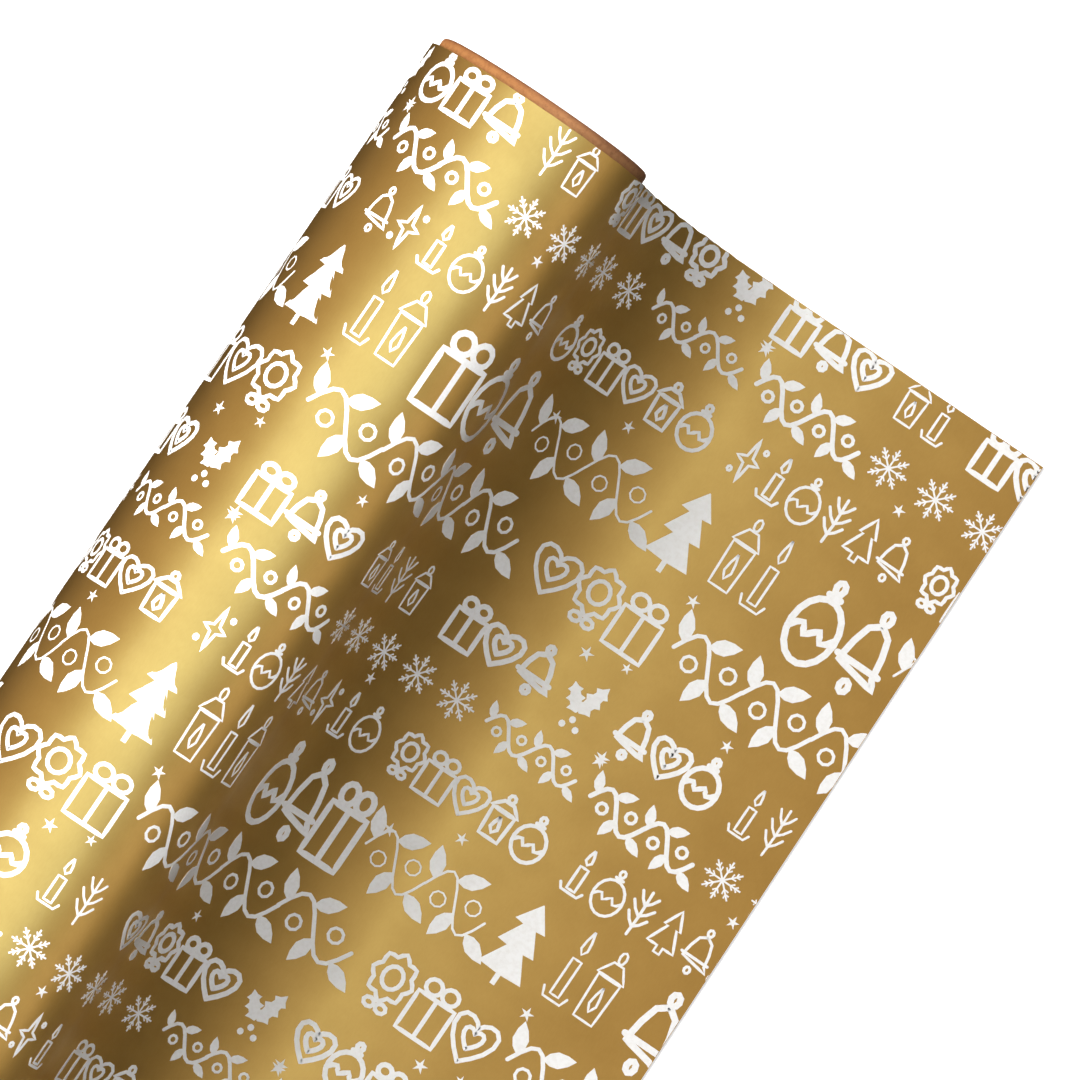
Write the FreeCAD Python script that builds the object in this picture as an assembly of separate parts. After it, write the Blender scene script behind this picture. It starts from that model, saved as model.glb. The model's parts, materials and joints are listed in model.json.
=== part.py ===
"""Wrapping paper roll: a wound pack of gift wrap on a spiral-wound board core, with its outer leaf drawn off.

The roll lies on its side. Its axis is Y, the leaf is drawn off towards +X, and +Z is up.
The origin is the middle of the core's bore. All sizes are in millimetres.
"""

import FreeCAD
import Part
import math
import os

V = FreeCAD.Vector
ROLL_AXIS = V(0, 1, 0)
ORIGIN = V(0, 0, 0)

# --- Driving dimensions: the core ---
BORE_RADIUS = 22.5
PLY_THICKNESS = 0.4
PLY_NAMES = ("core_inner_ply", "core_middle_ply", "core_outer_ply")
STRIP_WIDTH = 90.0  # board strip that each ply is wound from
BUTT_GAP = 0.4  # between one turn of a strip and the next
CORE_OVERHANG = 2.4  # how far the core stands out of the paper at each end
RIM_ROUND = 0.8  # the knife crushes the core's outer rim round

# --- Driving dimensions: the paper on the core ---
PAPER_WIDTH = 762.0  # across the web, which is the roll's length
PAPER_THICKNESS = 0.1
PACK_THICKNESS = 0.9  # all the tight turns together
TURN_CLEARANCE = 0.3  # between the outer turn and the pack that turns inside it
TAIL_GAP_DEG = 16.0  # bare stretch of the pack, below where the leaf leaves it

# --- Driving dimensions: the tape that starts the paper on the core ---
TAPE_WIDTH = 6.0
TAPE_THICKNESS = 0.08
TAPE_END_INSET = 6.0  # from the paper's side edges
TAPE_AT_DEG = 90.0  # where it lies round the core, from +X towards +Z

# --- Driving dimensions: the leaf ---
BEND_RADIUS = 40.0  # hollow bend between the roll and the flat, at the paper's middle
BEND_NAMES = ("leaf_foot", "leaf_slope", "leaf_shoulder")  # equal shares of the bend, from the flat up
BEND_SPANS = 6  # arcs in each share, short enough that even a coarse mesh of one stays inside the paper
FLAT_LENGTH = 56.0  # from the foot of the bend to the free edge, at the +Y end
CUT_SLANT_DEG = 0.8  # the scissors' cut runs out of true by this much, so the leaf widens towards -Y

# --- Driving dimensions: the layer that is drawn out from under the leaf ---
LAYER_GAP = 0.1  # between it and the leaf
DRAWN_HEADROOM = 3.0  # from the floor to the roll's underside, at this layer's inner edge
DRAWN_OVERLAP = 20.0  # what stays under the leaf at full travel
DRAWN_EDGE_INSET = 2.0  # inside the leaf's free edge, at rest
DRAWN_SIDE_INSET = 0.4  # from the leaf's side edges

# --- Worked out from them: the roll, from the bore outwards ---
core_length = PAPER_WIDTH + 2 * CORE_OVERHANG
core_radius = BORE_RADIUS + PLY_THICKNESS * len(PLY_NAMES)
pack_radius = core_radius + PACK_THICKNESS
turn_inner_radius = pack_radius + TURN_CLEARANCE
roll_radius = turn_inner_radius + PAPER_THICKNESS

# --- Worked out from them: the flat layers, from the floor up ---
floor_z = -roll_radius
leaf_bottom_z = floor_z + PAPER_THICKNESS + LAYER_GAP
leaf_middle_z = leaf_bottom_z + PAPER_THICKNESS / 2

# The hollow bend touches the outer turn at one end and the flat at the other.
bend_centre_z = leaf_middle_z + BEND_RADIUS
turn_middle_radius = roll_radius - PAPER_THICKNESS / 2
bend_centre_x = math.sqrt((turn_middle_radius + BEND_RADIUS) ** 2 - bend_centre_z**2)
leave_deg = math.degrees(math.atan2(bend_centre_z, bend_centre_x))

drawn_start_x = math.sqrt(roll_radius**2 - (roll_radius - DRAWN_HEADROOM) ** 2)
drawn_travel = bend_centre_x + FLAT_LENGTH - DRAWN_OVERLAP - drawn_start_x


def tube(inner_radius, outer_radius, length):
    """A plain tube on the roll's axis, its middle at the origin."""
    foot = V(0, -length / 2, 0)
    outer = Part.makeCylinder(outer_radius, length, foot, ROLL_AXIS)
    inner = Part.makeCylinder(inner_radius, length, foot, ROLL_AXIS)
    return outer.cut(inner)


def along_axis(wire, length):
    """Fills a closed wire drawn in the XZ plane and carries it along the roll's axis."""
    solid = Part.Face(wire).extrude(V(0, length, 0))
    solid.translate(V(0, -length / 2, 0))
    return solid


def ring_sector(inner_radius, outer_radius, start_deg, end_deg, length, centre=ORIGIN, spans=1):
    """A slice of a tube wall, with each arc drawn in equal spans. Angles run from +X towards +Z."""

    def point(radius, degrees):
        turn = math.radians(degrees)
        return centre + V(radius * math.cos(turn), 0, radius * math.sin(turn))

    def arcs(radius, first_deg, last_deg):
        step = (last_deg - first_deg) / spans
        starts = [first_deg + span * step for span in range(spans)]
        return [Part.Arc(*(point(radius, a + share * step) for share in (0, 0.5, 1))) for a in starts]

    start = Part.LineSegment(point(inner_radius, start_deg), point(outer_radius, start_deg))
    end = Part.LineSegment(point(outer_radius, end_deg), point(inner_radius, end_deg))
    outer = arcs(outer_radius, start_deg, end_deg)
    inner = arcs(inner_radius, end_deg, start_deg)
    edges = [line.toShape() for line in (start, *outer, end, *inner)]
    return along_axis(Part.Wire(edges), length)


def free_edge_x(y):
    """Where the scissors' cut crosses the flat."""
    return bend_centre_x + FLAT_LENGTH + (PAPER_WIDTH / 2 - y) * math.tan(math.radians(CUT_SLANT_DEG))


def flat_sheet(inner_x, edge_inset, half_width, bottom_z):
    """A flat piece of paper between a straight inner edge and an outer edge along the scissors' cut."""
    outline = [
        (inner_x, -half_width),
        (free_edge_x(-half_width) - edge_inset, -half_width),
        (free_edge_x(half_width) - edge_inset, half_width),
        (inner_x, half_width),
    ]
    corners = [V(x, y, bottom_z) for x, y in outline]
    face = Part.Face(Part.makePolygon(corners + corners[:1]))
    return face.extrude(V(0, 0, PAPER_THICKNESS))


def strip_lead(radius):
    """Advance per turn of a strip wound edge to edge, so that it covers a tube of this radius."""
    wind_angle = math.asin(STRIP_WIDTH / (2 * math.pi * radius))
    return STRIP_WIDTH / math.cos(wind_angle)


def butt_cutter(inner_radius, outer_radius, phase_deg):
    """The thin helical gap between a ply's turns, a little longer than the core and proud of the ply."""
    middle_radius = (inner_radius + outer_radius) / 2
    lead = strip_lead(middle_radius)
    turns = math.ceil(core_length / lead) + 1
    helix = Part.makeHelix(lead, turns * lead, middle_radius)
    depth = outer_radius - inner_radius + PLY_THICKNESS
    low = V(middle_radius - depth / 2, 0, -BUTT_GAP / 2)
    corners = [low, low + V(depth, 0, 0), low + V(depth, 0, BUTT_GAP), low + V(0, 0, BUTT_GAP)]
    section = Part.makePolygon(corners + corners[:1])
    blade = Part.Wire(helix.Edges).makePipeShell([section], True, True)
    blade.translate(V(0, 0, -turns * lead / 2))
    blade.rotate(ORIGIN, V(0, 0, 1), phase_deg)
    blade.rotate(ORIGIN, V(1, 0, 0), -90)
    return blade


def core_envelope():
    """The whole core as one body with its outer rims rounded, which every ply is trimmed to."""
    body = Part.makeCylinder(core_radius, core_length, V(0, -core_length / 2, 0), ROLL_AXIS)
    rims = [edge for edge in body.Edges if isinstance(edge.Curve, Part.Circle)]
    return body.makeFillet(min(RIM_ROUND, core_radius - BORE_RADIUS), rims)


def core_plies():
    """The spiral-wound board strips, from the bore outwards, with their butt joints staggered."""
    envelope = core_envelope()
    plies = {}
    for number, name in enumerate(PLY_NAMES):
        inner_radius = BORE_RADIUS + number * PLY_THICKNESS
        outer_radius = inner_radius + PLY_THICKNESS
        ply = tube(inner_radius, outer_radius, core_length).common(envelope)
        phase_deg = 360 * number / len(PLY_NAMES)
        plies[name] = ply.cut(butt_cutter(inner_radius, outer_radius, phase_deg))
    return plies


def starter_tape():
    """The double-sided tape that holds the paper's first turn to the core."""
    half_deg = math.degrees(TAPE_WIDTH / core_radius) / 2
    length = PAPER_WIDTH - 2 * TAPE_END_INSET
    start_deg, end_deg = TAPE_AT_DEG - half_deg, TAPE_AT_DEG + half_deg
    return ring_sector(core_radius, core_radius + TAPE_THICKNESS, start_deg, end_deg, length)


def wound_pack(tape):
    """All the tight turns of paper as one body, pressed in over the tape."""
    return tube(core_radius, pack_radius, PAPER_WIDTH).cut(tape)


def outer_turn():
    """The last turn, from where the leaf leaves the roll back round to the tail gap."""
    end_deg = leave_deg + 360 - TAIL_GAP_DEG
    return ring_sector(turn_inner_radius, roll_radius, leave_deg, end_deg, PAPER_WIDTH)


def leaf_bend():
    """The hollow bend that carries the leaf from the roll's side down to the flat, in three strips."""
    centre = V(bend_centre_x, 0, bend_centre_z)
    radii = (BEND_RADIUS - PAPER_THICKNESS / 2, BEND_RADIUS + PAPER_THICKNESS / 2)
    share_deg = (90 - leave_deg) / len(BEND_NAMES)
    strips = {}
    for number, name in enumerate(BEND_NAMES):
        end_deg = 270 - number * share_deg
        start_deg = end_deg - share_deg
        strips[name] = ring_sector(*radii, start_deg, end_deg, PAPER_WIDTH, centre, BEND_SPANS)
    return strips


def leaf_flat():
    """The flat part of the leaf."""
    return flat_sheet(bend_centre_x, 0, PAPER_WIDTH / 2, leaf_bottom_z)


def drawn_leaf():
    """The next stretch of paper, which lies under the leaf until it is drawn out."""
    return flat_sheet(drawn_start_x, DRAWN_EDGE_INSET, PAPER_WIDTH / 2 - DRAWN_SIDE_INSET, floor_z)


def main():
    tape = starter_tape()
    nodes = core_plies()
    nodes["starter_tape"] = tape
    nodes["wound_pack"] = wound_pack(tape)
    nodes["outer_turn"] = outer_turn()
    nodes.update(leaf_bend())
    nodes["leaf_flat"] = leaf_flat()
    nodes["drawn_leaf"] = drawn_leaf()
    os.makedirs("parts", exist_ok=True)
    for name, shape in nodes.items():
        shape.exportStep(f"parts/{name}.step")
        print(f"{name}: {len(shape.Solids)} solid, {shape.Volume:.0f} mm3, valid {shape.isValid()}")
    print(f"core {core_length:.1f} long, radius {core_radius:.2f}, roll radius {roll_radius:.2f}")
    print(f"the leaf leaves the roll {leave_deg:.2f} deg above its side")
    print(f"the flat runs from x {bend_centre_x:.2f} to {free_edge_x(PAPER_WIDTH / 2):.2f} at its +Y end")
    drawn_deg = math.degrees(drawn_travel / turn_middle_radius)
    print(f"the drawn layer travels {drawn_travel:.1f} as the roll turns {drawn_deg:.0f} deg")


main()
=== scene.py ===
# %% [markdown]
# # A roll of gold gift wrap
#
# This lesson builds the looks of a roll of wrapping paper around a finished CAD frame. The frame gives every
# size and place. What is added here is what CAD leaves plain: one thin sheet that really runs from the roll
# down to the table, the turns of paper that show at the roll's ends, the wound strips of the board core,
# the white print, and the finish of each surface.
#
# Everything is in metres. The roll's axis is Y, the leaf is drawn off towards +X, and +Z is up.

# %% Load the frame
import json
import math

import bpy
import numpy as np
from mathutils import Matrix, Vector


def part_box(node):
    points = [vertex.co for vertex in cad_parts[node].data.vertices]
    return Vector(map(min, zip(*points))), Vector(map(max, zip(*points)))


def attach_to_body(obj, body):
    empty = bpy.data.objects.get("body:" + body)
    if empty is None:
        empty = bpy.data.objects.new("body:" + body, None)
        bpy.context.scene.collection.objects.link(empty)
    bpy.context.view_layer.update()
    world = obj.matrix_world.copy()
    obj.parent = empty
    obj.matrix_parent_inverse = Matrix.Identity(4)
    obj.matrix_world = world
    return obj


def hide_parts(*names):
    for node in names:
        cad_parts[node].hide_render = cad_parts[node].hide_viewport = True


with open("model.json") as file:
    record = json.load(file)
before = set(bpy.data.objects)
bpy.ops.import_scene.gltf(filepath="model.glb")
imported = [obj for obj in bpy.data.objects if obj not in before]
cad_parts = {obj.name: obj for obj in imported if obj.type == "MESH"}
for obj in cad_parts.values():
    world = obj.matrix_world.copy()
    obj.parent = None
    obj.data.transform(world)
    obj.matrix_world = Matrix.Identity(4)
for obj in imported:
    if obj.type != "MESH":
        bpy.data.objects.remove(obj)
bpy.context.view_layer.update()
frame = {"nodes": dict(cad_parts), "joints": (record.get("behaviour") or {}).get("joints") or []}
MM = 0.001

# %% [markdown]
# ## Sizes come from the frame
#
# A node of the frame keeps its place in its vertices, so the radius of a tube is the furthest that any of
# its vertices lies from the roll's axis. Reading sizes like this means that a change in the CAD model
# carries over to the looks without any editing here.

# %% Measure the frame
def node_points(name):
    """All the vertices of one CAD node as an array of (x, y, z) rows."""
    mesh = frame["nodes"][name].data
    points = np.empty(len(mesh.vertices) * 3)
    mesh.vertices.foreach_get("co", points)
    return points.reshape(-1, 3)


def node_radii(name):
    """The least and greatest distance of a node's vertices from the roll's axis."""
    points = node_points(name)
    distance = np.hypot(points[:, 0], points[:, 2])
    return distance.min(), distance.max()


turn_inner, roll_radius = node_radii("outer_turn")
core_radius, pack_radius = node_radii("wound_pack")
core_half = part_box("core_outer_ply")[1].y
half_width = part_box("outer_turn")[1].y

flat_low, flat_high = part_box("leaf_flat")
paper = flat_high.z - flat_low.z
flat_z = (flat_high.z + flat_low.z) / 2
flat_start = flat_low.x
flat_points = node_points("leaf_flat")
free_edge_near = flat_points[flat_points[:, 1] > 0, 0].max()
free_edge_far = flat_points[flat_points[:, 1] < 0, 0].max()
print(f"roll radius {roll_radius / MM:.2f} mm, pack {pack_radius / MM:.2f}, core {core_radius / MM:.2f}")
print(f"leaf: flat from {flat_start / MM:.2f} mm to {free_edge_near / MM:.2f} at its +Y end")

# %% [markdown]
# ## The camera
#
# The view is from almost straight above, from far away through a long lens, so parallel edges stay
# parallel. The camera is turned so that the roll runs from the lower left to the upper right. A small tilt
# hides the end of the bore and makes the ends of the paper bulge outwards.

# %% Place the camera
VIEW_WIDTH = 208.3 * MM
CAMERA_DISTANCE = 3.0
TILT = math.radians(2.2)
AXIS_IN_VIEW = math.radians(55.84)
aim = Vector((46.0 * MM, half_width - 67.7 * MM, 0))

camera_back = Vector((0, -math.sin(TILT), math.cos(TILT)))
level_right = Vector((math.sin(AXIS_IN_VIEW), math.cos(AXIS_IN_VIEW), 0))
camera_right = (level_right - level_right.dot(camera_back) * camera_back).normalized()
camera_up = camera_back.cross(camera_right)
camera_data = bpy.data.cameras.new("camera")
camera = bpy.data.objects.new("camera", camera_data)
bpy.context.scene.collection.objects.link(camera)
camera_data.lens = camera_data.sensor_width * CAMERA_DISTANCE / VIEW_WIDTH
camera_data.clip_end = 100
turn = Matrix((camera_right, camera_up, camera_back)).transposed()
camera.matrix_world = Matrix.Translation(aim + camera_back * CAMERA_DISTANCE) @ turn.to_4x4()
bpy.context.scene.camera = camera
bpy.context.scene.view_settings.view_transform = "Standard"
print(f"lens {camera_data.lens:.0f} mm")

# %% [markdown]
# ## One helper that turns arrays into a piece
#
# Every new piece is worked out as whole arrays of points and faces. This helper puts them into a mesh,
# shades it smooth with sharp edges where two faces meet at a real corner, and makes the piece ride on a
# body of the frame, so that it moves when the body does.

# %% Turn arrays into a piece
SHARP = math.radians(35)


def make_piece(name, points, faces, body, finish_numbers=None):
    """A mesh piece from an array of points and an array of faces with one row per face."""
    mesh = bpy.data.meshes.new(name)
    corners = faces.shape[1]
    mesh.vertices.add(len(points))
    mesh.vertices.foreach_set("co", np.asarray(points, np.float32).ravel())
    mesh.loops.add(faces.size)
    mesh.loops.foreach_set("vertex_index", np.asarray(faces, np.int32).ravel())
    mesh.polygons.add(len(faces))
    mesh.polygons.foreach_set("loop_start", np.arange(0, faces.size, corners, dtype=np.int32))
    mesh.polygons.foreach_set("use_smooth", np.ones(len(faces), bool))
    if finish_numbers is not None:
        mesh.polygons.foreach_set("material_index", np.asarray(finish_numbers, np.int32))
    mesh.update(calc_edges=True)
    mesh.validate()
    mesh.set_sharp_from_angle(angle=SHARP)
    piece = bpy.data.objects.new(name, mesh)
    bpy.context.scene.collection.objects.link(piece)
    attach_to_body(piece, body)
    print(f"{name}: {len(points)} points, {len(faces)} faces on {body}")
    return piece


def grid_faces(rows, columns, first=0):
    """Four-cornered faces between neighbouring points of a grid stored row by row."""
    row, column = np.meshgrid(np.arange(rows - 1), np.arange(columns - 1), indexing="ij")
    corner = first + (row * columns + column).ravel()
    return np.stack([corner, corner + columns, corner + columns + 1, corner + 1], 1)


def tube_faces(loops, around, closed=False):
    """Faces between closed loops of points, each with the same number of points around it."""
    loop, place = np.meshgrid(np.arange(loops if closed else loops - 1), np.arange(around), indexing="ij")
    here, there = loop * around, (loop + 1) % loops * around
    beside = (place + 1) % around
    return np.stack([here + place, here + beside, there + beside, there + place], -1).reshape(-1, 4)

# %% [markdown]
# ## The line that the sheet follows
#
# Seen from the end of the roll, the outer turn and the leaf are one line: a circle round the roll, a hollow
# bend the other way, and a straight run on the table. Each touches the next without a kink, as paper does,
# because paper can't fold itself into a corner. A line like this is best described by its own length, so
# that the print can be laid out flat and then wrapped on without stretching.

# %% Work out the line of the sheet
turn_middle = (turn_inner + roll_radius) / 2
bend_radius = (flat_start**2 + flat_z**2 - turn_middle**2) / (2 * (turn_middle - flat_z))
bend_z = flat_z + bend_radius
leave_turn = math.atan2(flat_start, bend_z)
leave_s = turn_middle * leave_turn
flat_s = leave_s + bend_radius * leave_turn
TAIL_GAP = math.radians(16)
tail_turn = leave_turn - 2 * math.pi + TAIL_GAP
tail_s = turn_middle * tail_turn
TUCK_CLEARANCE = 0.03 * MM
tuck_depth = turn_inner - pack_radius - TUCK_CLEARANCE


def sheet_line(s):
    """Place and slope of the sheet's middle, by its length s from the top of the roll.

    On the roll the slope is s over the radius. Along the hollow bend it falls off evenly to nothing, and on
    the table it stays nothing. Past the underside of the roll, the tail eases inwards on to the pack."""
    slope = np.where(s < leave_s, s / turn_middle, np.clip((flat_s - s) / bend_radius, 0, None))
    under = np.clip((-math.pi - slope) / (-math.pi - tail_turn), 0, 1)
    radius = turn_middle - tuck_depth * under**2 * (3 - 2 * under)
    on_roll, on_bend = s <= leave_s, (s > leave_s) & (s < flat_s)
    x = np.where(on_bend, flat_start - bend_radius * np.sin(slope), flat_start + s - flat_s)
    z = np.where(on_bend, bend_z - bend_radius * np.cos(slope), flat_z)
    x = np.where(on_roll, radius * np.sin(slope), x)
    z = np.where(on_roll, radius * np.cos(slope), z)
    return x, z, slope


def free_edge_s(y):
    """Length at which the sheet ends, which changes evenly along the roll because the cut isn't square."""
    share = (half_width - y) / (2 * half_width)
    return flat_s + free_edge_near - flat_start + share * (free_edge_far - free_edge_near)


def wrap(s, y, height):
    """Points on the sheet: height above its middle, at length s and at y along the roll."""
    x, z, slope = sheet_line(s)
    return np.stack([x + height * np.sin(slope), y, z + height * np.cos(slope)], -1)


print(f"bend radius {bend_radius / MM:.2f} mm, leaves the roll {90 - math.degrees(leave_turn):.1f} deg up")
print(f"sheet from s {tail_s / MM:.1f} to {free_edge_s(half_width) / MM:.1f} mm")

# %% [markdown]
# ## The sheet of paper
#
# The sheet could be a flat plane bent by a modifier, but then its length would be a guess. Here it is a
# grid in length and width, wrapped by the line above, with a printed face, a white back, and rims as thick
# as the paper. Where the leaf leaves the roll, its side edge is a little ragged from unwinding.

# %% Shape the sheet's edges and its waves
RAG = 0.3 * MM
COCKLE = 0.05 * MM


def rag(s):
    """How far a side edge draws back: waves of unlike length that are strongest where the leaf is lifted."""
    waves = np.sin(s / (0.55 * MM)) + np.sin(s / (0.93 * MM) + 1) + 0.7 * np.sin(s / (2.3 * MM) + 2)
    lifted = np.exp(-(((s - leave_s - 16 * MM) / (22 * MM)) ** 2))
    return RAG * (0.15 + 0.85 * lifted) * (2.7 + waves) / 5.4


def cockle(s, y):
    """A very shallow wave in the free leaf, as wide as a hand, that the roll and the table flatten out."""
    held = np.clip((s - leave_s) / (30 * MM), 0, 1) * np.clip((free_edge_s(y) - s) / (30 * MM), 0, 1)
    return COCKLE * held * (1 + np.sin(y / (21 * MM)) * np.cos(s / (17 * MM) + y / (60 * MM)))


def place_leaf(s, y, height):
    """The sheet on the roll and the table, with its ragged side edges and its shallow waves."""
    side = np.clip((np.abs(y) - half_width + 2 * MM) / (2 * MM), 0, 1)
    return wrap(s, y - np.sign(y) * side * rag(s), height + cockle(s, y))


def place_drawn(s, y, height):
    """The next stretch of the same sheet, flat on the table under the leaf, by its length s."""
    return np.stack([s - drawn_shift, y, drawn_z + height + 0 * s], -1)

# %% Build both sheets
drawn_low, drawn_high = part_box("drawn_leaf")
drawn_z = (drawn_low.z + drawn_high.z) / 2
drawn_half = drawn_high.y
drawn_points = node_points("drawn_leaf")
drawn_near = drawn_points[drawn_points[:, 1] > 0, 0].max()
drawn_far = drawn_points[drawn_points[:, 1] < 0, 0].max()
pull = next(joint for joint in frame["joints"] if joint["name"] == "leaf_pull")
travel = pull["range_m"][1]
drawn_shift = flat_s - flat_start + travel


def drawn_edge_s(y):
    """Length at which the drawn stretch ends, in step with the leaf's own slanting edge."""
    share = (drawn_half - y) / (2 * drawn_half)
    return drawn_shift + drawn_near + share * (drawn_far - drawn_near)


def sheet_piece(name, s_lines, y_lines, stretch_from, edge_s, place, body):
    """A closed sheet: the grid's last stretch is drawn out to edge_s(y), and place() puts it in the room."""
    s_grid, y_grid = np.meshgrid(s_lines, y_lines, indexing="ij")
    share = np.clip((s_grid - stretch_from) / (s_lines[-1] - stretch_from), 0, 1)
    s_grid = s_grid + share * (edge_s(y_grid) - s_lines[-1])
    rows, columns = s_grid.shape
    count = rows * columns
    number = np.arange(count).reshape(rows, columns)
    ring = np.concatenate([number[0, :-1], number[:-1, -1], number[-1, :0:-1], number[:0:-1, 0]])
    ahead = np.roll(ring, -1)
    top = grid_faces(rows, columns)
    bottom = grid_faces(rows, columns, count)[:, ::-1]
    rim = np.stack([ring, ahead, ahead + count, ring + count], 1)
    points = np.concatenate([place(s_grid, y_grid, side * paper / 2).reshape(-1, 3) for side in (1, -1)])
    finish = np.repeat([0, 1], [len(top), len(bottom) + len(rim)])
    return make_piece(name, points, np.concatenate([top, bottom, rim]), body, finish)


side_lines = half_width - np.array([0, 0.7, 1.4, 2, 6]) * MM
between = np.linspace(-side_lines[-1], side_lines[-1], 62)[1:-1]
y_lines = np.concatenate([-side_lines, between, side_lines[::-1]])
round_lines = np.linspace(tail_s, leave_s, 250)
bend_lines = np.linspace(leave_s, flat_s, 200)[1:]
flat_lines = np.linspace(flat_s, free_edge_s(half_width), 26)[1:]
leaf_lines = np.concatenate([round_lines, bend_lines, flat_lines])
leaf_paper = sheet_piece("leaf_paper", leaf_lines, y_lines, flat_s, free_edge_s, place_leaf, "leaf")
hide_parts("outer_turn", "leaf_shoulder", "leaf_slope", "leaf_foot", "leaf_flat")

drawn_lines = np.linspace(drawn_low.x + drawn_shift, drawn_edge_s(drawn_half), 30)
drawn_across = np.linspace(-drawn_half, drawn_half, 60)
drawn_paper = sheet_piece("drawn_paper", drawn_lines, drawn_across, drawn_lines[0], drawn_edge_s,
                          place_drawn, "drawn")
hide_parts("drawn_leaf")

# %% [markdown]
# ## The wound turns
#
# A pack of paper is one long spiral, not a set of rings. Its outer and inner faces nearly touch, so what
# shows is its edge at the roll's ends: fine white lines, each a paper thick, that no winder lays quite
# level. The spiral is a profile of four corners carried round the axis while its radius grows.

# %% Wind the pack
TURN_GAP = 0.006 * MM
UNEVEN = 0.14 * MM
turns = round((pack_radius - core_radius) / paper)
stations = 120 * turns + 1
wind = np.linspace(0, 2 * math.pi * turns, stations)
inner_face = core_radius + TURN_GAP + (pack_radius - core_radius - paper) * wind / wind[-1]
outer_face = inner_face + paper - TURN_GAP
uneven = UNEVEN * (0.5 + 0.3 * np.sin(wind * 0.31 + 1) + 0.2 * np.sin(wind * 1.17))
radius = np.stack([outer_face, outer_face, inner_face, inner_face], 1)
along = np.stack([-half_width + uneven, half_width - uneven, half_width - uneven, -half_width + uneven], 1)
angle = wind[:, None]
pack_points = np.stack([radius * np.sin(angle), along, radius * np.cos(angle)], -1).reshape(-1, 3)
pack_faces = np.concatenate([tube_faces(stations, 4)[:, ::-1], [[0, 1, 2, 3]],
                             [[4 * stations - 1, 4 * stations - 2, 4 * stations - 3, 4 * stations - 4]]])
pack_finish = np.concatenate([np.tile([0, 1, 1, 1], stations - 1), [1, 1]])
wound_turns = make_piece("wound_turns", pack_points, pack_faces, "roll", pack_finish)
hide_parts("wound_pack")

# %% [markdown]
# ## The board core
#
# A core is wound from strips of board, glued at a slant round a mandrel, so each layer shows a seam that
# runs round it like a screw thread. A plain tube with a painted line would look flat at the rim. Each layer
# here is a strip carried along its own helix, with a narrow gap where its edges meet, and cut square at the
# ends, where the knife has left the outer corner rounded.

# %% Wind the core's strips
RIM_ROUND = 0.8 * MM
SEAM = 0.35 * MM
STRIP = 90 * MM
LAYER_AIR = 0.008 * MM
layer_names = ["core_inner_ply", "core_middle_ply", "core_outer_ply"]
strip_names = ["core_inner_strip", "core_middle_strip", "core_outer_strip"]


def rim_reach(radius):
    """How far along the axis the board reaches at a radius, less where its outer corner is rounded."""
    into = np.clip(radius - (core_radius - RIM_ROUND), 0, RIM_ROUND)
    return core_half - (RIM_ROUND - np.sqrt(RIM_ROUND**2 - into**2))


def strip_piece(name, inner, outer, phase):
    """A strip on a helix: y = lead * turn + across, held between the core's two cut ends."""
    lead = STRIP / math.cos(math.asin(STRIP / (2 * math.pi * outer)))
    reach = core_half / lead + 0.5
    turn = np.arange(-reach * 96 - 96, reach * 96 + 96) / 96
    middle = lead * (turn + phase)
    on_core = np.abs(middle) < core_half + (lead - SEAM) / 2
    turn, middle = turn[on_core, None], middle[on_core, None]
    radii = np.array([outer, (2 * outer + inner) / 3, (outer + 2 * inner) / 3, inner])
    radii = np.concatenate([radii, radii[::-1]])[None, :]
    side = np.repeat([1, -1], 4)[None, :]
    along = np.clip(middle + side * (lead - SEAM) / 2, -rim_reach(radii), rim_reach(radii))
    angle = 2 * math.pi * turn
    points = np.stack([radii * np.sin(angle), along, radii * np.cos(angle)], -1)
    loops = len(points)
    ends = np.array([[0, 1, 6, 7], [1, 2, 5, 6], [2, 3, 4, 5]])
    far = ends[:, ::-1] + 8 * (loops - 1)
    faces = np.concatenate([tube_faces(loops, 8), ends, far])[:, ::-1]
    return make_piece(name, points.reshape(-1, 3), faces, "roll")


strips = []
for number, (layer, name) in enumerate(zip(layer_names, strip_names)):
    inner, outer = node_radii(layer)
    strip = strip_piece(name, inner + LAYER_AIR, outer - LAYER_AIR, number / 3)
    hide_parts(layer)
    strips.append(strip)
print(len(strips), "strips of board")

# %% [markdown]
# ## The print: strokes
#
# The white print is line art, laid on the gold as a film of opaque ink. A picture wrapped round the sheet
# would blur close up, so each line here is a real film of ink: a ribbon that follows the line, with a top, a
# bottom that is sunk in the paper, and round ends. A ribbon is a profile carried along a path, so one
# function makes every stroke, leaf and star arm from a path and its half width at each point.

# %% Make a stroke from a path
STEP = 1.5 * MM


def walk(path, closed=False):
    """The same path with points no further apart than STEP, and all its corners kept."""
    path = np.asarray(path, float)
    ahead = np.roll(path, -1, axis=0) if closed else path[1:]
    start = path if closed else path[:-1]
    parts = np.maximum(1, np.ceil(np.linalg.norm(ahead - start, axis=1) / STEP)).astype(int)
    which = np.repeat(np.arange(len(parts)), parts)
    share = (np.arange(parts.sum()) - np.repeat(np.cumsum(parts) - parts, parts)) / parts[which]
    points = start[which] + share[:, None] * (ahead - start)[which]
    return points if closed else np.concatenate([points, path[-1:]])


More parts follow.
